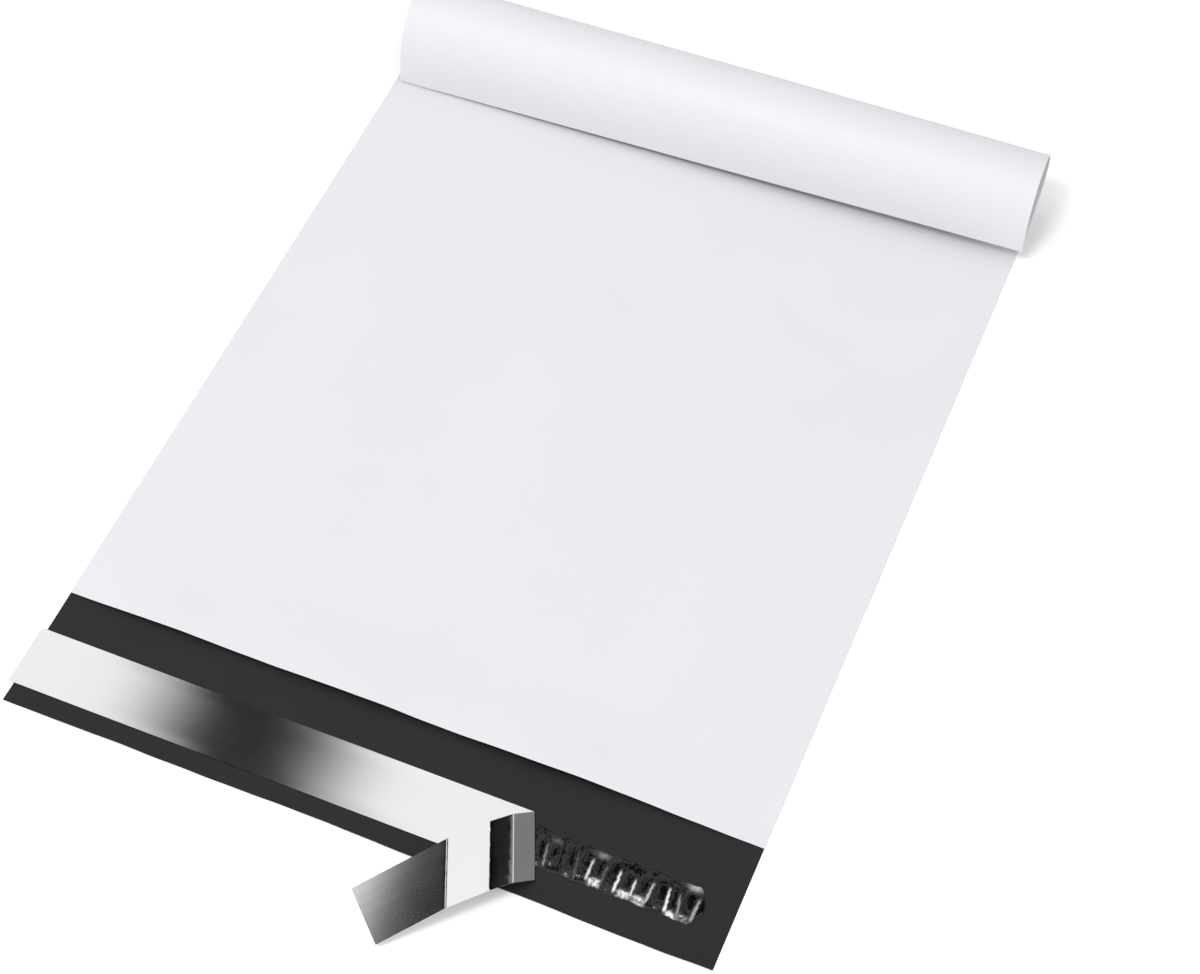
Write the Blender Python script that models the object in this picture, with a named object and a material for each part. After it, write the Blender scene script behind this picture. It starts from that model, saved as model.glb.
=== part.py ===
"""Poly mailer bag lying open and face up: film bag with a curled-over bottom, adhesive strip, release liner.

Axes: +X across the bag, +Y from the flap towards the bottom fold, +Z up. The origin is on the floor,
under the middle of the stretch of bag that lies flat. Lengths are in metres, angles in degrees.
"""

import math

import bmesh
import bpy
from mathutils import Matrix, Vector

MM = 0.001

# The bag, as it was cut and welded
BAG_WIDTH = 254 * MM
BODY_LENGTH = 368 * MM
FLAP_LENGTH = 46 * MM
FILM_THICKNESS = 0.075 * MM
PANEL_SPACING = 0.3 * MM        # between the middles of the two panels' films
MOUTH_LIFT = 1.0 * MM           # how far the free mouth edge stands proud at mid width
MOUTH_LIFT_REACH = 32 * MM      # how far down the front panel that bow is felt

# The curl at the bottom of the bag: (start, length, turn), measured along the film from where it lifts off
FLAT_LENGTH = 318 * MM
CURL_SKEW = 1.1                 # the roll's axis against +X, seen from above
CURL_BENDS = (
    (0.0, 61 * MM, 121.2),
    (25.5 * MM, 70.5 * MM, 138.0),
)
CURL_STEP = 4 * MM

# The hot-melt adhesive strip on the inner side of the flap
BAND_CENTRE = 18.5 * MM         # middle of strip and liner, from the flap's free edge
STRIP_LENGTH = 234 * MM
STRIP_WIDTH = 15 * MM
STRIP_THICKNESS = 0.12 * MM
STRIP_CORNER = 3 * MM

# The release liner, peeled from the right and folded back on itself
LINER_LENGTH = 250 * MM
LINER_WIDTH = 22.5 * MM
LINER_THICKNESS = 0.05 * MM
LINER_OVERHANG = 2 * MM         # past the bag's left edge
CREASE_FROM_CENTRE = 57.9 * MM  # where the crease crosses the band's centre line
CREASE_SKEW = -23.3             # the crease's direction away from +Y, turned about +Z
LINER_BENDS = (
    (0, 1.3 * MM, 139.7),
    (9.4 * MM, 1.0 * MM, 30.8),
    (16.5 * MM, 1.0 * MM, 10.4),
    (30.5 * MM, 1.0 * MM, 13.1),
)

LARGEST_FACET_TURN = 20.0
LAYER_GAP = 0.05 * MM           # air left between pieces that lie on each other
BAG_COLUMNS = 9
SECTION_STEPS = 400

FLAP_EDGE_Y = -FLAT_LENGTH / 2
MOUTH_Y = FLAP_EDGE_Y + FLAP_LENGTH
BOTTOM_Y = MOUTH_Y + BODY_LENGTH
BAND_Y = FLAP_EDGE_Y + BAND_CENTRE
STRIP_BASE_Z = FILM_THICKNESS + LAYER_GAP
LINER_BASE_Z = STRIP_BASE_Z + STRIP_THICKNESS + LAYER_GAP


def clear_scene():
    for old in list(bpy.data.objects):
        bpy.data.objects.remove(old, do_unlink=True)


def film_material(name, colour, roughness, metallic=0.0):
    material = bpy.data.materials.new(name)
    material.use_nodes = True
    shader = material.node_tree.nodes["Principled BSDF"]
    shader.inputs["Base Color"].default_value = (*colour, 1.0)
    shader.inputs["Roughness"].default_value = roughness
    shader.inputs["Metallic"].default_value = metallic
    material.diffuse_color = (*colour, 1.0)
    return material


def add_object(name, bm, material):
    bmesh.ops.recalc_face_normals(bm, faces=bm.faces)
    mesh = bpy.data.meshes.new(name)
    bm.to_mesh(mesh)
    bm.free()
    mesh.materials.append(material)
    mesh.shade_smooth()
    mesh.set_sharp_from_angle(angle=math.radians(40))
    obj = bpy.data.objects.new(name, mesh)
    bpy.context.collection.objects.link(obj)
    return obj


def add_film_thickness(obj, thickness):
    solidify = obj.modifiers.new("film", "SOLIDIFY")
    solidify.thickness = thickness
    solidify.offset = 0.0
    solidify.use_even_offset = True
    solidify.use_rim = True


def ease(t):
    t = min(max(t, 0.0), 1.0)
    return t * t * (3 - 2 * t)


def slope_at(bends, arc):
    """Angle of the film above the horizontal, an arc length after it starts to bend."""
    return math.radians(sum(turn * ease((arc - start) / length) for start, length, turn in bends))


def section_at(bends, arc):
    """Where the film is after that arc length: distance travelled along, height, and its slope."""
    if arc <= 0:
        return arc, 0.0, 0.0
    step = arc / SECTION_STEPS
    along = height = 0.0
    for i in range(SECTION_STEPS):
        slope = slope_at(bends, (i + 0.5) * step)
        along += math.cos(slope) * step
        height += math.sin(slope) * step
    return along, height, slope_at(bends, arc)


def score(bm, frame, distances):
    """Cuts the flat film along lines across the frame's +Y axis, so that it has edges to bend at."""
    for distance in distances:
        bmesh.ops.bisect_plane(
            bm,
            geom=bm.verts[:] + bm.edges[:] + bm.faces[:],
            dist=1e-7,
            plane_co=frame @ Vector((0, distance, 0)),
            plane_no=frame.to_3x3() @ Vector((0, 1, 0)),
        )


def bend(bm, frame, bends, mid_height):
    """Bends everything past the frame's X axis along the section; mid_height is what keeps its length."""
    inverse = frame.inverted()
    for vert in bm.verts:
        local = inverse @ vert.co
        if local.y <= 0:
            continue
        along, height, slope = section_at(bends, local.y)
        lift = local.z - mid_height
        local.y = along - math.sin(slope) * lift
        local.z = mid_height + height + math.cos(slope) * lift
        vert.co = frame @ local


def steps(first, last, step):
    count = math.ceil((last - first) / step)
    return [first + (last - first) * i / count for i in range(count)]


def flat_tube():
    """The bag laid flat: two panels joined by the side welds and the bottom fold, open at the mouth."""
    bm = bmesh.new()
    bmesh.ops.create_grid(bm, x_segments=BAG_COLUMNS, y_segments=1, size=0.5)
    bmesh.ops.scale(bm, vec=(BAG_WIDTH, BODY_LENGTH, 1), verts=bm.verts)
    bmesh.ops.translate(bm, vec=(0, MOUTH_Y + BODY_LENGTH / 2, FILM_THICKNESS / 2), verts=bm.verts)
    grown = bmesh.ops.extrude_face_region(bm, geom=bm.faces[:], use_keep_orig=True)["geom"]
    front_panel = [v for v in grown if isinstance(v, bmesh.types.BMVert)]
    bmesh.ops.translate(bm, vec=(0, 0, PANEL_SPACING), verts=front_panel)
    at_mouth = [f for f in bm.faces if f.calc_center_median().y < MOUTH_Y + FILM_THICKNESS]
    bmesh.ops.delete(bm, geom=at_mouth, context="FACES_ONLY")
    return bm


def add_flap(bm):
    """Runs the back panel on past the mouth."""
    top_of_back = FILM_THICKNESS
    hinge = [
        e for e in bm.edges
        if all(v.co.y < MOUTH_Y + FILM_THICKNESS and v.co.z < top_of_back for v in e.verts)
    ]
    grown = bmesh.ops.extrude_edge_only(bm, edges=hinge)["geom"]
    flap_edge = [v for v in grown if isinstance(v, bmesh.types.BMVert)]
    bmesh.ops.translate(bm, vec=(0, -FLAP_LENGTH, 0), verts=flap_edge)


def bow_mouth(bm):
    """Lifts the free edge of the front panel in a low arch that dies away down the bag."""
    for vert in bm.verts:
        below_mouth = (vert.co.y - MOUTH_Y) / MOUTH_LIFT_REACH
        if vert.co.z < FILM_THICKNESS or below_mouth > 1:
            continue
        across = 2 * vert.co.x / BAG_WIDTH
        vert.co.z += MOUTH_LIFT * (1 - across ** 2) ** 2 * (1 - below_mouth) ** 2


def build_bag(material):
    bm = flat_tube()
    add_flap(bm)
    mouth = Matrix.Translation((0, MOUTH_Y, 0))
    score(bm, mouth, [MOUTH_LIFT_REACH * share for share in (0.12, 0.3, 0.55, 1.0)])
    bow_mouth(bm)
    roll = Matrix.Rotation(math.radians(CURL_SKEW), 4, "Z") @ Matrix.Translation((0, FLAT_LENGTH / 2, 0))
    curl_length = BOTTOM_Y - FLAT_LENGTH / 2 + BAG_WIDTH / 2 * math.sin(math.radians(CURL_SKEW))
    score(bm, roll, steps(0.0, curl_length, CURL_STEP))
    bend(bm, roll, CURL_BENDS, FILM_THICKNESS / 2)
    add_film_thickness(add_object("bag", bm, material), FILM_THICKNESS)


def build_adhesive_strip(material):
    bm = bmesh.new()
    bmesh.ops.create_cube(bm, size=1.0)
    bmesh.ops.scale(bm, vec=(STRIP_LENGTH, STRIP_WIDTH, STRIP_THICKNESS), verts=bm.verts)
    bmesh.ops.translate(bm, vec=(0, BAND_Y, STRIP_BASE_Z + STRIP_THICKNESS / 2), verts=bm.verts)
    corners = [e for e in bm.edges if abs(e.verts[0].co.z - e.verts[1].co.z) > STRIP_THICKNESS / 2]
    bmesh.ops.bevel(
        bm, geom=corners, offset=STRIP_CORNER, segments=4, profile=0.5, affect="EDGES", material=-1
    )
    add_object("adhesive_strip", bm, material)


def build_release_liner(material):
    mid_height = LINER_BASE_Z + LINER_THICKNESS / 2
    left_end = -BAG_WIDTH / 2 - LINER_OVERHANG
    bm = bmesh.new()
    bmesh.ops.create_grid(bm, x_segments=1, y_segments=1, size=0.5)
    bmesh.ops.scale(bm, vec=(LINER_LENGTH, LINER_WIDTH, 1), verts=bm.verts)
    bmesh.ops.translate(bm, vec=(left_end + LINER_LENGTH / 2, BAND_Y, mid_height), verts=bm.verts)
    # The crease frame's X axis runs along the crease, and its Y axis towards the peeled end
    crease = Matrix.Translation((CREASE_FROM_CENTRE, BAND_Y, 0))
    crease = crease @ Matrix.Rotation(math.radians(-90 - CREASE_SKEW), 4, "Z")
    for start, length, turn in LINER_BENDS:
        facets = math.ceil(turn / LARGEST_FACET_TURN) + 1
        score(bm, crease, [start + length * i / facets for i in range(facets + 1)])
    bend(bm, crease, LINER_BENDS, mid_height)
    add_film_thickness(add_object("release_liner", bm, material), LINER_THICKNESS)


def main():
    clear_scene()
    build_bag(film_material("white_film", (0.82, 0.83, 0.85), 0.45))
    build_adhesive_strip(film_material("hot_melt", (0.012, 0.012, 0.013), 0.12))
    build_release_liner(film_material("silver_liner", (0.72, 0.73, 0.75), 0.2))


main()
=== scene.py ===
"""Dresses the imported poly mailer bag: film, adhesive and release liner, in a plain studio.

The bag lies on the floor with its flap open and its bottom end curled over. Lengths are in metres.
"""

import logging
import math
import random
from dataclasses import dataclass, field
from enum import Enum

import bmesh
import bpy
from mathutils import Matrix, Vector, noise


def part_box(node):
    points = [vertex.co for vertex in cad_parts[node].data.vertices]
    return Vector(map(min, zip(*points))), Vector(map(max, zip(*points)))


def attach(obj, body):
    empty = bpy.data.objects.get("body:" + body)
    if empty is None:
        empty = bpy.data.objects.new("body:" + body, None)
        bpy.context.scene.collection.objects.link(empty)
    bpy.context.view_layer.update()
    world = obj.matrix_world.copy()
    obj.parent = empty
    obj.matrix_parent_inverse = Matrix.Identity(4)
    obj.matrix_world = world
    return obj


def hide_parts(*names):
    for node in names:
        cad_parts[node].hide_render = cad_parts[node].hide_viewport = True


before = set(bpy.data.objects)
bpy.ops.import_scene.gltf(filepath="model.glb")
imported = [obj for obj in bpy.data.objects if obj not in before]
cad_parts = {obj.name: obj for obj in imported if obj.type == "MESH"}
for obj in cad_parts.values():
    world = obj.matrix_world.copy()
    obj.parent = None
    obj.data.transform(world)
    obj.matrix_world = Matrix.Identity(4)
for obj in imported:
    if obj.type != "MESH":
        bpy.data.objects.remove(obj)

MM = 0.001
SHARP = math.radians(50)
LOG = logging.getLogger("poly_mailer")


# ---------------------------------------------------------------------------------------------
# Small tools
# ---------------------------------------------------------------------------------------------


def linear(hex_colour: str) -> tuple[float, float, float, float]:
    """Turns an sRGB hex colour into linear RGBA.

    Args:
        hex_colour: Six hex digits with a leading #.

    Returns:
        Linear red, green, blue and an alpha of 1.
    """
    channels = [int(hex_colour[i:i + 2], 16) / 255 for i in (1, 3, 5)]
    red, green, blue = (c / 12.92 if c <= 0.04045 else ((c + 0.055) / 1.055) ** 2.4 for c in channels)
    return red, green, blue, 1.0


def add_node(
    tree: bpy.types.NodeTree,
    kind: str,
    settings: dict[str | int, object] | None = None,
    links: dict[str | int, bpy.types.NodeSocket] | None = None,
) -> bpy.types.Node:
    """Adds a node with its settings and links.

    Args:
        tree: The node tree that gets the node.
        kind: The node's type name.
        settings: Values by input name or number, or by property name.
        links: Sockets to link from, by input name or number.

    Returns:
        The new node.
    """
    node = tree.nodes.new(kind)
    for key, value in (settings or {}).items():
        if isinstance(key, int) or key in node.inputs:
            node.inputs[key].default_value = value
        else:
            setattr(node, key, value)
    for key, source in (links or {}).items():
        tree.links.new(source, node.inputs[key])
    return node


def ease(t: float) -> float:
    """Smooth step from 0 to 1, held outside that range."""
    t = min(max(t, 0.0), 1.0)
    return t * t * (3 - 2 * t)


def face_upwards(bm: bmesh.types.BMesh) -> None:
    """Makes the normals agree, with the highest face's pointing up."""
    bmesh.ops.recalc_face_normals(bm, faces=bm.faces)
    highest = max(bm.faces, key=lambda face: face.calc_center_median().z)
    if highest.normal.z < 0:
        bmesh.ops.reverse_faces(bm, faces=bm.faces)


def swell(x: float, y: float, wavelength: float, seed: float) -> float:
    """Smooth noise from 0 to 1 over a surface.

    Args:
        x: First place on the surface.
        y: Second place on the surface.
        wavelength: Typical distance between two swells.
        seed: Picks one pattern.

    Returns:
        The noise's value there.
    """
    return 0.5 + 0.5 * noise.noise(Vector((x / wavelength, y / wavelength, seed)))


def add_piece(name: str, bm: bmesh.types.BMesh, materials: list[bpy.types.Material]) -> bpy.types.Object:
    """Makes an object at the origin from a bmesh, smooth except at its sharp corners.

    Args:
        name: The object's name.
        bm: The finished shape, which is freed.
        materials: One material for each slot.

    Returns:
        The new object.
    """
    for face in bm.faces:
        face.smooth = True
    for edge in bm.edges:
        edge.smooth = not edge.is_boundary and edge.calc_face_angle(0.0) < SHARP
    mesh = bpy.data.meshes.new(name)
    bm.to_mesh(mesh)
    bm.free()
    for material in materials:
        mesh.materials.append(material)
    piece = bpy.data.objects.new(name, mesh)
    bpy.context.collection.objects.link(piece)
    return piece


def add_thickness(piece: bpy.types.Object, thickness: float, inner_slot: int = 0) -> None:
    """Gives a surface its film thickness, half to each side.

    Args:
        piece: The surface.
        thickness: The film's gauge.
        inner_slot: The material slot of the side that faces inwards.
    """
    solidify = piece.modifiers.new("film", "SOLIDIFY")
    solidify.thickness = thickness
    solidify.offset = 0.0
    solidify.use_even_offset = True
    solidify.use_rim = True
    solidify.material_offset = inner_slot


# ---------------------------------------------------------------------------------------------
# Bent film
# ---------------------------------------------------------------------------------------------


@dataclass(frozen=True)
class Bend:
    """One stretch over which the film turns.

    Attributes:
        start: Film length from the axis to where it starts.
        length: Film length that it takes.
        turn: How far the film turns, in degrees.
    """

    start: float
    length: float
    turn: float

    def slope(self, arc: float) -> float:
        """The turn made by then, in radians."""
        return math.radians(self.turn) * ease((arc - self.start) / self.length)


@dataclass
class BentFilm:
    """Film that lies flat up to a straight axis and bends beyond it.

    Attributes:
        axis: Frame on the floor with its X along the axis and its Y towards the bent end.
        bends: The bends beyond the axis.
        mid_height: Height of the layer that keeps its length.
        longest: Film length beyond the axis that the table covers.
        step: Film length between two rows of the table.
    """

    axis: Matrix
    bends: tuple[Bend, ...]
    mid_height: float
    longest: float
    step: float = 0.05 * MM
    rows: list[tuple[float, float, float]] = field(default_factory=list)

    def __post_init__(self) -> None:
        """Tabulates how far along and how high the film is, and its slope."""
        along = height = 0.0
        self.rows.append((along, height, 0.0))
        for i in range(math.ceil(self.longest / self.step) + 1):
            slope = sum(bend.slope((i + 0.5) * self.step) for bend in self.bends)
            along += math.cos(slope) * self.step
            height += math.sin(slope) * self.step
            self.rows.append((along, height, sum(bend.slope((i + 1) * self.step) for bend in self.bends)))

    def section(self, arc: float) -> tuple[float, float, float]:
        """Looks up the table.

        Args:
            arc: Film length beyond the axis.

        Returns:
            The distance along, the height and the slope there.
        """
        row = min(arc / self.step, len(self.rows) - 2.0)
        low = int(row)
        share = row - low
        before, after = self.rows[low], self.rows[low + 1]
        return tuple(a + (b - a) * share for a, b in zip(before, after))

    def apply(self, bm: bmesh.types.BMesh) -> None:
        """Bends a flat bmesh."""
        inverse = self.axis.inverted()
        for vert in bm.verts:
            local = inverse @ vert.co
            if local.y <= 0:
                continue
            along, height, slope = self.section(local.y)
            lift = local.z - self.mid_height
            local.y = along - math.sin(slope) * lift
            local.z = self.mid_height + height + math.cos(slope) * lift
            vert.co = self.axis @ local

    def score(self, bm: bmesh.types.BMesh, arcs: list[float]) -> None:
        """Cuts a flat bmesh along lines parallel to the axis.

        Args:
            bm: The flat film.
            arcs: Film lengths beyond the axis of the cuts.
        """
        for arc in arcs:
            bmesh.ops.bisect_plane(
                bm,
                geom=bm.verts[:] + bm.edges[:] + bm.faces[:],
                dist=1e-7,
                plane_co=self.axis @ Vector((0, arc, 0)),
                plane_no=self.axis.to_3x3() @ Vector((0, 1, 0)),
            )


# ---------------------------------------------------------------------------------------------
# Finishes
# ---------------------------------------------------------------------------------------------


class Pattern(Enum):
    """What the finish's bump follows."""

    FILM_CUT = "web"
    OBJECT = "object"


@dataclass(frozen=True)
class Finish:
    """A surface made with one Principled shader, a mottled colour and roughness, and a bump.

    Attributes:
        name: The real material.
        light: Its lighter colour, as sRGB hex.
        dark: Its darker colour, as sRGB hex.
        roughness: Lowest and highest roughness.
        mottle_mm: Distance between two patches of colour.
        grain_mm: Distance between two grains of the bump, across and along the film.
        grain_height_mm: Height of the grain.
        metallic: The shader's metallic value.
        ior: Refractive index.
        specular: The shader's specular level.
        pattern: What the patterns follow.
    """

    name: str
    light: str
    dark: str
    roughness: tuple[float, float]
    mottle_mm: float
    grain_mm: tuple[float, float]
    grain_height_mm: float
    metallic: float = 0.0
    ior: float = 1.5
    specular: float = 0.5
    pattern: Pattern = Pattern.FILM_CUT

    def material(self) -> bpy.types.Material:
        """Builds the material.

        Returns:
            The new material.
        """
        made = bpy.data.materials.new(self.name)
        made.use_nodes = True
        tree = made.node_tree
        tree.nodes.clear()
        place = self.place(tree)
        mottle = add_node(tree, "ShaderNodeTexNoise", {
            "Scale": 1 / (self.mottle_mm * MM), "Detail": 3.0, "Roughness": 0.55,
        }, {"Vector": place})
        colour = add_node(tree, "ShaderNodeMix", {
            "data_type": "RGBA", 6: linear(self.dark), 7: linear(self.light),
        }, {0: mottle.outputs["Fac"]})
        rough = add_node(tree, "ShaderNodeMapRange", {
            "From Min": 0.3, "From Max": 0.7, "To Min": self.roughness[0], "To Max": self.roughness[1],
        }, {"Value": mottle.outputs["Fac"]})
        across, along = self.grain_mm
        stretched = add_node(tree, "ShaderNodeMapping", {
            "Scale": (1 / (across * MM), 1 / (along * MM), 1 / (along * MM)),
        }, {"Vector": place})
        grain = add_node(tree, "ShaderNodeTexNoise", {
            "Scale": 1.0, "Detail": 2.0, "Roughness": 0.5,
        }, {"Vector": stretched.outputs["Vector"]})
        bump = add_node(tree, "ShaderNodeBump", {
            "Strength": 1.0, "Distance": self.grain_height_mm * MM,
        }, {"Height": grain.outputs["Fac"]})
        shader = add_node(tree, "ShaderNodeBsdfPrincipled", {
            "Metallic": self.metallic, "IOR": self.ior, "Specular IOR Level": self.specular,
        }, {
            "Base Color": self.tint(tree, colour.outputs[2]),
            "Roughness": rough.outputs["Result"],
            "Normal": bump.outputs["Normal"],
        })
        add_node(tree, "ShaderNodeOutputMaterial", links={"Surface": shader.outputs["BSDF"]})
        return made

    def place(self, tree: bpy.types.NodeTree) -> bpy.types.NodeSocket:
        """Where the patterns take their place from."""
        if self.pattern is Pattern.FILM_CUT:
            return add_node(tree, "ShaderNodeUVMap", {"uv_map": Pattern.FILM_CUT.value}).outputs["UV"]
        return add_node(tree, "ShaderNodeTexCoord").outputs["Object"]

    def tint(self, tree: bpy.types.NodeTree, colour: bpy.types.NodeSocket) -> bpy.types.NodeSocket:
        """The colour that reaches the shader; a finish with more to show adds to it."""
        return colour


@dataclass(frozen=True)
class PaintedHighlightFinish(Finish):
    """A finish with painted highlights: a paler colour mixed in where a vertex attribute says.

    Attributes:
        highlight_colour: Colour of the painted highlights, as sRGB hex.
    """

    highlight_colour: str = "#E2E2E4"

    def tint(self, tree: bpy.types.NodeTree, colour: bpy.types.NodeSocket) -> bpy.types.NodeSocket:
        """Mixes the paler colour of the painted highlights over the colour."""
        # Painted highlight: a pale colour that stands in for the light's reflection on the glossy adhesive
        painted_highlight = add_node(tree, "ShaderNodeAttribute", {"attribute_name": "painted_highlight"})
        return add_node(tree, "ShaderNodeMix", {"data_type": "RGBA", 7: linear(self.highlight_colour)}, {
            0: painted_highlight.outputs["Fac"], 6: colour,
        }).outputs[2]


# Blown low-density polyethylene, pigmented with titanium dioxide: opaque, cool white, satin, with faint
# lines from the extruder's die that run across the bag, the way its web ran through the machine
WHITE_FILM = Finish(
    name="white_ldpe_film", light="#D4D5D9", dark="#D0D1D5", roughness=(0.46, 0.58), mottle_mm=45,
    grain_mm=(60, 1.6), grain_height_mm=0.012, ior=1.51, specular=0.45,
)
# The same film's carbon-black inner layer, duller because it was blown against the tube's air
INNER_FILM = Finish(
    name="black_ldpe_layer", light="#1E1E1F", dark="#1A1A1B", roughness=(0.5, 0.62), mottle_mm=25,
    grain_mm=(40, 1.4), grain_height_mm=0.015, ior=1.51, specular=0.25,
)
# Synthetic-rubber hot melt, slot-coated and then drawn up by the peeled liner: wet, black, glossy, with painted
# highlights as pale patches in its colour
HOT_MELT = PaintedHighlightFinish(
    name="rubber_hot_melt", light="#0C0C0D", dark="#050506", roughness=(0.06, 0.16), mottle_mm=3,
    grain_mm=(0.9, 0.9), grain_height_mm=0.06, ior=1.5, pattern=Pattern.OBJECT,
)
# Siliconised polyester film with a silver coat: mirror-like, a little blurred
SILVER_LINER = Finish(
    name="siliconised_silver_film", light="#F6F6F6", dark="#F1F1F2", roughness=(0.07, 0.09), mottle_mm=60,
    grain_mm=(80, 2.5), grain_height_mm=0.002, metallic=1.0,
)


# ---------------------------------------------------------------------------------------------
# The bag's pieces
# ---------------------------------------------------------------------------------------------


@dataclass
class Bag:
    """The folded and side-welded film: back panel with flap, bottom fold and front panel.

    Attributes:
        flap: Length of the flap.
        gauge: Thickness of the film.
        spacing: Distance between the middles of the two panels' films.
        flat: Length of bag that lies flat, from the flap's edge.
        curl_skew: The roll's axis against +X, in degrees.
        curl: The bends of the curled-over end.
    """

    flap: float = 46 * MM
    gauge: float = 0.075 * MM
    spacing: float = 0.3 * MM
    flat: float = 318 * MM
    body: float = 368 * MM
    curl_skew: float = 1.1
    curl: tuple[Bend, ...] = (Bend(0, 61 * MM, 121.2), Bend(25.5 * MM, 70.5 * MM, 138.0))
    columns: int = 100
    rows: int = 170
    flap_rows: int = 24
    crowding: float = 0.5
    mouth_reach: float = 32 * MM

    def __post_init__(self) -> None:
        """Takes the bag's place and width from the frame."""
        low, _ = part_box("bag")
        self.half_width = -low.x
        self.flap_edge = low.y
        self.mouth = self.flap_edge + self.flap
        self.bottom = self.mouth + self.body
        self.mid_height = self.gauge / 2

    def build(self) -> bpy.types.Object:
        """Builds the bag.

        Returns:
            The finished object.
        """
        bm = self.flat_tube()
        self.add_flap(bm)
        face_upwards(bm)
        self.map_cut(bm)
        self.shape_film(bm)
        skew = math.radians(self.curl_skew)
        axis = Matrix.Rotation(skew, 4, "Z") @ Matrix.Translation((0, self.flat / 2, 0))
        longest = self.bottom - self.flat / 2 + self.half_width * math.sin(skew)
        BentFilm(axis, self.curl, self.mid_height, longest).apply(bm)
        piece = add_piece("mailer_film", bm, [WHITE_FILM.material(), INNER_FILM.material()])
        add_thickness(piece, self.gauge, inner_slot=1)
        return piece

    def dress(self, piece: bpy.types.Object) -> None:
        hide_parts("bag")
        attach(piece, "root")

    def flat_tube(self) -> bmesh.types.BMesh:
        """Both panels, side welds and bottom fold, laid flat and open at the mouth.

        Returns:
            The flat tube, its cells crowded towards the edges, where the film wrinkles.
        """
        bm = bmesh.new()
        bmesh.ops.create_grid(bm, x_segments=self.columns, y_segments=self.rows, size=1.0)
        for vert in bm.verts:
            across, along = (
                share + self.crowding * math.sin(math.pi * share) / math.pi for share in vert.co.xy
            )
            middle = (self.mouth + self.bottom) / 2
            vert.co = (across * self.half_width, middle + along * self.body / 2, self.mid_height)
        grown = bmesh.ops.extrude_face_region(bm, geom=bm.faces[:], use_keep_orig=True)["geom"]
        front = [v for v in grown if isinstance(v, bmesh.types.BMVert)]
        bmesh.ops.translate(bm, vec=(0, 0, self.spacing), verts=front)
        at_mouth = [f for f in bm.faces if f.calc_center_median().y < self.mouth + self.gauge]
        bmesh.ops.delete(bm, geom=at_mouth, context="FACES_ONLY")
        return bm

    def add_flap(self, bm: bmesh.types.BMesh) -> None:
        """Runs the back panel on past the mouth, row by row."""
        edge = [
            e for e in bm.edges
            if all(v.co.y < self.mouth + self.gauge and v.co.z < self.gauge for v in e.verts)
        ]
        for _ in range(self.flap_rows):
            grown = bmesh.ops.extrude_edge_only(bm, edges=edge)["geom"]
            edge = [e for e in grown if isinstance(e, bmesh.types.BMEdge)]
            outer = [v for v in grown if isinstance(v, bmesh.types.BMVert)]
            bmesh.ops.translate(bm, vec=(0, -self.flap / self.flap_rows, 0), verts=outer)

    def map_cut(self, bm: bmesh.types.BMesh) -> None:
        """Writes each point's place on the flat cut, in metres, as the UV map."""
        layer = bm.loops.layers.uv.new(Pattern.FILM_CUT.value)
        back_length = self.bottom - self.flap_edge
        for face in bm.faces:
            in_front = face.calc_center_median().z > self.gauge
            for loop in face.loops:
                x, y, _ = loop.vert.co
                along = back_length + self.bottom - y if in_front else y - self.flap_edge
                loop[layer].uv = (x + self.half_width, along)

    def shape_film(self, bm: bmesh.types.BMesh) -> None:
        """Gives the flat film its waves, puckers and wavy cut edges."""
        for vert in bm.verts:
            x, y, z = vert.co
            if z > self.gauge:
                lift, shift = self.front_panel(x, y)
            else:
                lift, shift = self.back_panel(x, y)
            curl_lift = self.curl_waves(x, y)
            vert.co = (x, y + shift, z + lift + curl_lift)

    def front_panel(self, x: float, y: float) -> tuple[float, float]:
        """Air and tension in the front panel.

        Args:
            x: Place across the bag.
            y: Place along the bag.

        Returns:
            How far the film stands proud, and how far its cut edge wanders along the bag.
        """
        from_side = self.half_width - abs(x)
        from_mouth = y - self.mouth
        before_curl = ease((self.flat / 2 - 25 * MM - y) / (60 * MM))
        air = 0.45 * MM * swell(x, 0.8 * y, 90 * MM, 3.1) * ease(from_side / (25 * MM)) * before_curl
        patch = ease(2.2 * swell(x, y, 70 * MM, 8.4) - 0.7)
        pucker = 0.5 * MM * math.exp(-from_side / (4.5 * MM)) * swell(x * 0.4, y, 6 * MM, 5.7) ** 2 * patch
        reach = ease(1 - from_mouth / self.mouth_reach)
        arch = 1 - abs(x / self.half_width) ** 6
        waves = 0.3 + 1.7 * ease(1.5 * swell(x, 0, 60 * MM, 1.3) - 0.25) + 0.4 * swell(x, 0, 19 * MM, 2.2)
        wander = 0.5 * (swell(x, 0, 34 * MM, 6.6) - 0.5) + 0.25 * (swell(x, 0, 11 * MM, 7.7) - 0.5)
        mouth = MM * waves * arch * reach
        return air + pucker * (1 - reach) + mouth, wander * MM * math.exp(-from_mouth / (8 * MM))

    def back_panel(self, x: float, y: float) -> tuple[float, float]:
        """The flap's outer edge lifts and wanders a little; the rest lies on the floor.

        Args:
            x: Place across the bag.
            y: Place along the bag.

        Returns:
            How far the film stands proud, and how far its cut edge wanders along the bag.
        """
        from_edge = y - self.flap_edge
        loose = ease(1 - from_edge / (6.5 * MM))
        lift = 0.7 * MM * swell(x, 0, 38 * MM, 4.4) * loose
        wander = 0.9 * (swell(x, 0, 42 * MM, 9.1) - 0.5) + 0.35 * (swell(x, 0, 13 * MM, 9.9) - 0.5)
        return lift, wander * MM * loose

    def curl_waves(self, x: float, y: float) -> float:
        """Shallow dents of both panels in the curl, with crumpled ends."""
        into_curl = ease((y - self.flat / 2) / (30 * MM))
        from_left = x + self.half_width
        broad = 0.5 * (swell(x, y, 55 * MM, 11.3) - 0.5)
        crumple = 0.9 * (swell(x, 0.5 * y, 9 * MM, 12.6) - 0.5) * math.exp(-from_left / (12 * MM))
        return (broad + crumple) * MM * into_curl


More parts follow.
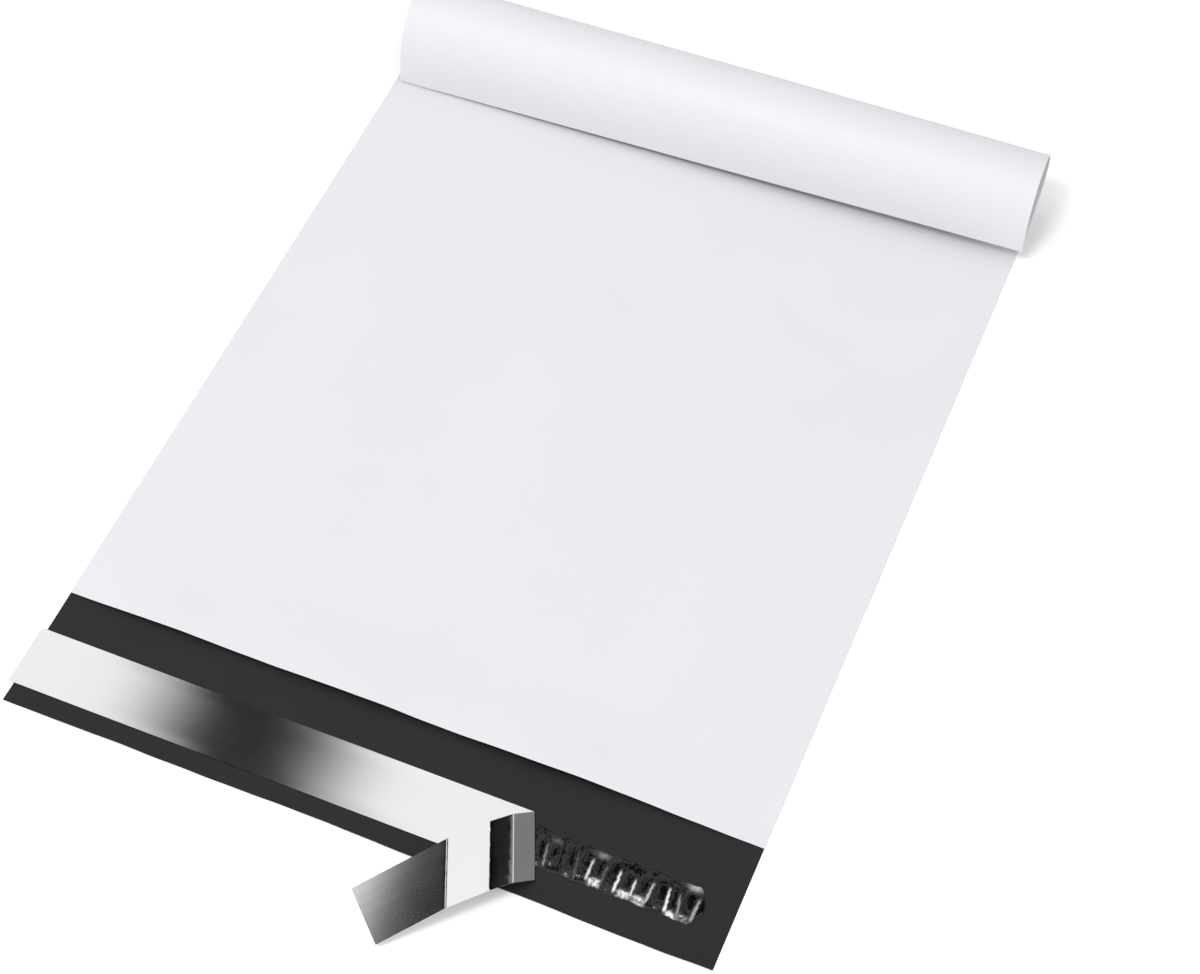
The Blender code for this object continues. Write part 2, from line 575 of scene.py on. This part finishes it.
@dataclass(frozen=True)
class Pull:
    """One mound that the adhesive drew up into as the liner was peeled.

    Attributes:
        x: Its middle, across the bag.
        y: Its middle, along the bag.
        half_width: Half its width.
        half_length: Half its length.
        lean: How far it leans, in radians.
        height: How high it stands.
        ridge: How strong the painted highlight on its flank is, from 0 to 1.
        foot: How strong the painted highlight at its lower end is, from 0 to 1.
        crown: How strong the fainter painted highlight at its upper end is, from 0 to 1.
    """

    x: float
    y: float
    half_width: float
    half_length: float
    lean: float
    height: float
    ridge: float
    foot: float
    crown: float

    @classmethod
    def random(cls, x: float, middle: float, dice: random.Random) -> "Pull":
        """Draws one.

        Args:
            x: Its middle, across the bag.
            middle: The band's middle, along the bag.
            dice: Where its numbers come from.

        Returns:
            The new mound.
        """
        return cls(
            x=x,
            y=middle + dice.uniform(-0.8, 0.8) * MM,
            half_width=dice.uniform(2.0, 2.7) * MM,
            half_length=dice.uniform(4.2, 6.0) * MM,
            lean=math.radians(dice.uniform(-12, 4)),
            height=dice.uniform(0.35, 0.8) * MM,
            ridge=ease(dice.uniform(-0.4, 1.6)),
            foot=ease(dice.uniform(-0.5, 1.7)),
            crown=ease(dice.uniform(-1.2, 1.2)),
        )

    def surface(self, x: float, y: float) -> tuple[float, float]:
        """Its height and painted highlight at a place.

        Args:
            x: Place across the bag.
            y: Place along the bag.

        Returns:
            How far the adhesive stands proud, and how pale its painted highlight is, from 0 to 1.
        """
        if abs(x - self.x) > 2.2 * self.half_width:
            return 0.0, 0.0
        ragged = swell(x, y, 1.1 * MM, self.x * 1000) - 0.5
        u = (x - self.x - (y - self.y) * math.tan(self.lean)) / self.half_width + 0.28 * ragged
        v = (y - self.y) / self.half_length + 0.22 * ragged
        radius = (abs(u) ** 2.6 + abs(v) ** 2.6) ** (1 / 2.6)
        dome = self.height * math.sqrt(max(0.0, 1 - radius * radius))
        # Painted highlights: pale colour on the flank, the lower end (broken into patches) and the upper end,
        # standing in for reflections of the light
        flank_highlight = self.ridge * math.exp(-((u - 1.0) / 0.17) ** 4) * ease((0.6 - v) * 2) * ease((v + 1.1) * 4)
        highlight_breakup = ease(3.4 * swell(x, 0.7 * y, 0.9 * MM, 31.0) - 1.1)
        foot = self.foot * math.exp(-((v + 1.05) / 0.27) ** 4 - (u / 0.9) ** 4) * (0.3 + 0.7 * highlight_breakup)
        crown = 0.5 * self.crown * math.exp(-((v - 1.05) / 0.22) ** 2 - (u / 0.9) ** 2)
        wall = 0.7 * self.height * math.exp(-((u - 0.98) / 0.16) ** 2) * ease(1.6 - 1.4 * abs(v))
        return max(dome, wall), max(flank_highlight, foot, crown)


@dataclass
class AdhesiveBand:
    """The hot-melt strip: smooth under the liner, drawn up into mounds where the liner was peeled.

    Attributes:
        hidden_until: Where, across the bag, the strip comes out from under the liner.
        bare_from: Where the mounds start.
        cell: Size of the exposed part's cells.
        pitch: Mean distance between two mounds.
        thin: Thickness of the bare strip between its mounds.
        seed: Picks the mounds' sizes.
    """

    hidden_until: float = 50 * MM
    bare_from: float = 58 * MM
    cell: float = 0.27 * MM
    pitch: float = 5.2 * MM
    thin: float = 0.04 * MM
    seed: int = 7

    def __post_init__(self) -> None:
        """Takes the strip's place from the frame, and scatters the mounds."""
        self.low, self.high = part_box("adhesive_strip")
        self.middle = (self.low.y + self.high.y) / 2
        self.half_width = (self.high.y - self.low.y) / 2
        dice = random.Random(self.seed)
        self.pulls = []
        x = self.bare_from + self.pitch / 2
        while x < self.high.x - self.pitch / 2:
            self.pulls.append(Pull.random(x, self.middle, dice))
            x += self.pitch * dice.uniform(0.85, 1.15)

    def build(self) -> bpy.types.Object:
        """Builds the strip.

        Returns:
            The finished object.
        """
        bm = bmesh.new()
        length = self.high.x - self.hidden_until
        bmesh.ops.create_grid(
            bm,
            x_segments=round(length / self.cell),
            y_segments=round(2 * self.half_width / self.cell),
            size=0.5,
        )
        bmesh.ops.scale(bm, vec=(length, 2 * self.half_width, 1), verts=bm.verts)
        bmesh.ops.translate(bm, vec=(self.hidden_until + length / 2, self.middle, self.high.z), verts=bm.verts)
        inner = [e for e in bm.edges if all(v.co.x < self.hidden_until + self.cell / 2 for v in e.verts)]
        grown = bmesh.ops.extrude_edge_only(bm, edges=inner)["geom"]
        hidden = [v for v in grown if isinstance(v, bmesh.types.BMVert)]
        bmesh.ops.translate(bm, vec=(self.low.x - self.hidden_until, 0, 0), verts=hidden)
        # Vertex attribute holding the painted highlights on the mounds
        layer = bm.verts.layers.float.new("painted_highlight")
        grown = bmesh.ops.extrude_face_region(bm, geom=bm.faces[:], use_keep_orig=True)["geom"]
        top = {v for v in grown if isinstance(v, bmesh.types.BMVert)}
        for vert in bm.verts:
            x, y, _ = vert.co
            y = self.middle + (y - self.middle) * self.outline(x)
            height, painted_highlight = self.surface(x, y) if vert in top else (self.low.z, 0.0)
            vert.co = (x, y, height)
            vert[layer] = painted_highlight
        face_upwards(bm)
        return add_piece("hot_melt_band", bm, [HOT_MELT.material()])

    def outline(self, x: float) -> float:
        """The strip's width at a place across the bag, as a share of its full width."""
        bare = ease((x - self.bare_from) / (3 * MM))
        ragged = 0.8 + 0.2 * swell(x, 0, 4 * MM, 17.0)
        rounded = math.sqrt(1 - 0.9 * ease(1 - (self.high.x - x) / (4 * MM)))
        return 1 - bare * (1 - ragged * rounded)

    def surface(self, x: float, y: float) -> tuple[float, float]:
        """The strip's upper side at a place.

        Args:
            x: Place across the bag.
            y: Place along the bag.

        Returns:
            Its height above the floor, and how strong its painted highlight is, from 0 to 1.
        """
        bare = ease((x - self.bare_from) / (2 * MM))
        if bare == 0:
            return self.high.z, 0.0
        drawn = [pull.surface(x, y) for pull in self.pulls]
        height = max(h for h, _ in drawn)
        painted_highlight = max(w for _, w in drawn)
        from_edge = self.half_width * self.outline(x) - abs(y - self.middle)
        bubbles = 0.1 * MM * swell(x, 0.6 * y, 0.8 * MM, 3.3) + 0.12 * MM * swell(x, 0.4 * y, 2.4 * MM, 4.1)
        thin = self.thin + (height + bubbles) * ease(from_edge / (1.2 * MM))
        return self.low.z + (self.high.z - self.low.z) * (1 - bare) + thin * bare, painted_highlight * bare

    def dress(self, piece: bpy.types.Object) -> None:
        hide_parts("adhesive_strip")
        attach(piece, "root")


@dataclass
class ReleaseLiner:
    """The silver film over the adhesive, peeled from the right and folded back.

    Attributes:
        length: Its cut length.
        width: Its cut width.
        gauge: Thickness of the film.
        crease: Where the crease crosses the band's centre line, across the bag.
        crease_skew: The crease's direction away from +Y, in degrees.
        bends: The crease, and the softer creases of the peeled tail.
    """

    length: float = 250 * MM
    width: float = 22.5 * MM
    gauge: float = 0.05 * MM
    crease: float = 57.9 * MM
    crease_skew: float = -23.3
    bends: tuple[Bend, ...] = (
        Bend(0, 1.3 * MM, 139.7),
        Bend(9.4 * MM, 1 * MM, 30.8),
        Bend(16.5 * MM, 1 * MM, 10.4),
        Bend(30.5 * MM, 1 * MM, 13.1),
    )
    layer_gap: float = 0.05 * MM
    columns: int = 120
    rows: int = 14
    facet_turn: float = 12.0

    def __post_init__(self) -> None:
        """Takes the liner's place from the frame."""
        band_low, band_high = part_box("adhesive_strip")
        self.left_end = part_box("release_liner")[0].x
        self.middle = (band_low.y + band_high.y) / 2
        self.mid_height = band_high.z + self.layer_gap + self.gauge / 2

    def build(self) -> bpy.types.Object:
        """Builds the liner.

        Returns:
            The finished object.
        """
        bm = bmesh.new()
        bmesh.ops.create_grid(bm, x_segments=self.columns, y_segments=self.rows, size=0.5)
        bmesh.ops.scale(bm, vec=(self.length, self.width, 1), verts=bm.verts)
        centre = (self.left_end + self.length / 2, self.middle, self.mid_height)
        bmesh.ops.translate(bm, vec=centre, verts=bm.verts)
        face_upwards(bm)
        axis = Matrix.Translation((self.crease, self.middle, 0))
        axis = axis @ Matrix.Rotation(math.radians(-90 - self.crease_skew), 4, "Z")
        peeled = self.left_end + self.length - self.crease + self.width / 2
        film = BentFilm(axis, self.bends, self.mid_height, peeled, step=0.02 * MM)
        for bend in self.bends:
            facets = math.ceil(bend.turn / self.facet_turn) + 1
            film.score(bm, [bend.start + bend.length * i / facets for i in range(facets + 1)])
        self.map_cut(bm)
        self.wave(bm)
        film.apply(bm)
        piece = add_piece("release_liner_film", bm, [SILVER_LINER.material()])
        add_thickness(piece, self.gauge)
        return piece

    def map_cut(self, bm: bmesh.types.BMesh) -> None:
        """Writes each point's place on the flat cut, in metres, as the UV map."""
        layer = bm.loops.layers.uv.new(Pattern.FILM_CUT.value)
        for face in bm.faces:
            for loop in face.loops:
                x, y, _ = loop.vert.co
                loop[layer].uv = (x - self.left_end, y - self.middle + self.width / 2)

    def wave(self, bm: bmesh.types.BMesh) -> None:
        """Lifts the laid part's long edges a trace."""
        for vert in bm.verts:
            x, y, z = vert.co
            from_edge = self.width / 2 - abs(y - self.middle)
            laid = ease((self.crease - 12 * MM - x) / (10 * MM))
            lift = 0.12 * MM * swell(x, y, 24 * MM, 2.7) * ease(1 - from_edge / (3 * MM)) * laid
            vert.co.z = z + lift

    def dress(self, piece: bpy.types.Object) -> None:
        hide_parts("release_liner")
        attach(piece, "root")


# ---------------------------------------------------------------------------------------------
# Studio
# ---------------------------------------------------------------------------------------------


@dataclass(frozen=True)
class SoftBox:
    """An area light.

    Attributes:
        name: What it does.
        place: Where it stands.
        aim: What it points at.
        size: Length of its sides.
        watts: Its power.
    """

    name: str
    place: tuple[float, float, float]
    aim: tuple[float, float, float]
    size: float
    watts: float

    def build(self) -> bpy.types.Object:
        """Adds the light."""
        light = bpy.data.lights.new(self.name, "AREA")
        light.shape = "SQUARE"
        light.size = self.size
        light.energy = self.watts
        lamp = bpy.data.objects.new(self.name, light)
        bpy.context.collection.objects.link(lamp)
        lamp.location = self.place
        lamp.rotation_euler = (Vector(self.aim) - Vector(self.place)).to_track_quat("-Z", "Y").to_euler()
        return lamp


@dataclass(frozen=True)
class BlackCard:
    """A black card of the studio that only reflections show, as a flag beside a glossy product.

    Attributes:
        name: What it does.
        place: Its middle.
        tilt: How far it is turned up about X from lying level, in degrees.
        size: Its width and height.
        soft: Share of each half that fades out, across and up.
        depth: How much of the light behind it its middle keeps away.
    """

    name: str
    place: tuple[float, float, float]
    tilt: float
    size: tuple[float, float]
    soft: tuple[float, float]
    depth: float = 1.0

    def build(self) -> bpy.types.Object:
        """Adds the card."""
        bm = bmesh.new()
        bmesh.ops.create_grid(bm, x_segments=1, y_segments=1, size=0.5)
        bmesh.ops.scale(bm, vec=(*self.size, 1), verts=bm.verts)
        mesh = bpy.data.meshes.new(self.name)
        bm.to_mesh(mesh)
        bm.free()
        mesh.materials.append(self.material())
        card = bpy.data.objects.new(self.name, mesh)
        card.location = self.place
        card.rotation_euler = (math.radians(self.tilt), 0, 0)
        bpy.context.collection.objects.link(card)
        for ray in ("camera", "diffuse", "transmission", "volume_scatter", "shadow"):
            setattr(card, f"visible_{ray}", False)
        return card

    def material(self) -> bpy.types.Material:
        """Black in the middle, clear at the edges."""
        made = bpy.data.materials.new(self.name)
        made.use_nodes = True
        tree = made.node_tree
        tree.nodes.clear()
        split = add_node(tree, "ShaderNodeSeparateXYZ", links={
            "Vector": add_node(tree, "ShaderNodeTexCoord").outputs["Object"],
        })
        fades = []
        for axis, side, soft in zip("XY", self.size, self.soft):
            away = add_node(tree, "ShaderNodeMath", {"operation": "ABSOLUTE"}, {0: split.outputs[axis]})
            fades.append(add_node(tree, "ShaderNodeMapRange", {
                "interpolation_type": "SMOOTHSTEP", "From Min": side / 2, "From Max": side / 2 * (1 - soft),
            }, {"Value": away.outputs[0]}).outputs["Result"])
        both = add_node(tree, "ShaderNodeMath", {"operation": "MULTIPLY"}, {0: fades[0], 1: fades[1]})
        faded = add_node(tree, "ShaderNodeMath", {"operation": "MULTIPLY", 1: self.depth}, {0: both.outputs[0]})
        black = add_node(tree, "ShaderNodeEmission", {"Color": (0, 0, 0, 1)})
        clear = add_node(tree, "ShaderNodeBsdfTransparent")
        mix = add_node(tree, "ShaderNodeMixShader", links={
            0: faded.outputs[0], 1: clear.outputs[0], 2: black.outputs[0],
        })
        add_node(tree, "ShaderNodeOutputMaterial", links={"Surface": mix.outputs[0]})
        return made


@dataclass(frozen=True)
class Studio:
    """Pale floor, soft light and camera.

    Attributes:
        aim: Point on the floor in the middle of the picture.
        azimuth: The camera's azimuth, in degrees; 0 looks along +Y.
        elevation: Its height above the floor, in degrees.
        distance: Its distance from the aim.
        lens: Focal length in millimetres on a 36 mm sensor.
    """

    aim: tuple[float, float, float] = (23.4 * MM, -2.0 * MM, 0)
    azimuth: float = 22.67
    elevation: float = 54.88
    distance: float = 919.7 * MM
    lens: float = 78.17
    floor_side: float = 12.0
    floor_colour: str = "#F6F6F6"
    horizon: float = 0.82
    zenith_glow: float = 0.28
    front_glow: float = 0.25

    def build(self) -> None:
        """Builds the floor, lights and camera."""
        self.build_floor()
        self.build_sky()
        SoftBox("key_box", (-0.35, -0.6, 1.65), (0.0, 0.0, 0.0), 0.45, 10).build()
        BlackCard("liner_card", (-0.587, 0.557, 1.5), 0, (0.33, 1.2), (0.78, 0.2)).build()
        BlackCard("tail_card", (-1.065, 0.29, 1.5), 0, (0.42, 0.36), (0.38, 0.4)).build()
        BlackCard("near_card", (0.04, 0.66, 1.5), 0, (0.65, 0.7), (0.16, 0.3)).build()
        BlackCard("crease_card", (0.7, 1.15, 1.5), 0, (1.0, 0.9), (0.4, 0.4), 0.8).build()
        BlackCard("rear_card", (1.38, 1.5, 0.4), 90, (0.6, 0.5), (0.6, 0.4), 0.7).build()
        self.build_camera()

    def build_floor(self) -> None:
        """A wide sheet of white studio paper."""
        bm = bmesh.new()
        bmesh.ops.create_grid(bm, x_segments=1, y_segments=1, size=self.floor_side / 2)
        mesh = bpy.data.meshes.new("studio_floor")
        bm.to_mesh(mesh)
        bm.free()
        material = bpy.data.materials.new("studio_paper")
        material.use_nodes = True
        tree = material.node_tree
        tree.nodes.clear()
        shader = add_node(tree, "ShaderNodeBsdfDiffuse", {"Color": linear(self.floor_colour)})
        add_node(tree, "ShaderNodeOutputMaterial", links={"Surface": shader.outputs[0]})
        mesh.materials.append(material)
        floor = bpy.data.objects.new("studio_floor", mesh)
        bpy.context.collection.objects.link(floor)

    def build_sky(self) -> None:
        """A white surround, brighter overhead and in front."""
        world = bpy.data.worlds.new("studio_surround")
        bpy.context.scene.world = world
        world.use_nodes = True
        tree = world.node_tree
        tree.nodes.clear()
        slope = add_node(tree, "ShaderNodeVectorMath", {
            "operation": "DOT_PRODUCT", 1: (0, -self.front_glow, self.zenith_glow),
        }, {0: add_node(tree, "ShaderNodeTexCoord").outputs["Generated"]})
        level = add_node(tree, "ShaderNodeMath", {"operation": "ADD", 1: self.horizon}, {
            0: slope.outputs["Value"],
        })
        light = add_node(tree, "ShaderNodeBackground", {"Color": (1, 1, 1, 1)}, {"Strength": level.outputs["Value"]})
        add_node(tree, "ShaderNodeOutputWorld", links={"Surface": light.outputs[0]})

    def build_camera(self) -> None:
        """The camera, looking down on the bag from the front right."""
        camera = bpy.data.cameras.new("camera")
        camera.lens = self.lens
        camera.sensor_width = 36
        eye = bpy.data.objects.new("camera", camera)
        bpy.context.collection.objects.link(eye)
        turn = Matrix.Rotation(math.radians(self.azimuth), 4, "Z")
        turn = turn @ Matrix.Rotation(math.radians(90 - self.elevation), 4, "X")
        eye.matrix_world = Matrix.Translation(self.aim) @ turn @ Matrix.Translation((0, 0, self.distance))
        bpy.context.scene.camera = eye


def main() -> None:
    """Builds the studio and the bag's pieces, and reports each piece."""
    logging.basicConfig(level=logging.INFO, format="%(name)s: %(message)s")
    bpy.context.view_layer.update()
    bpy.context.scene.view_settings.view_transform = "Standard"
    Studio().build()
    for maker in (Bag(), AdhesiveBand(), ReleaseLiner()):
        piece = maker.build()
        maker.dress(piece)
        LOG.info("%s: %d faces", piece.name, len(piece.data.polygons))


if __name__ == "__main__":
    main()
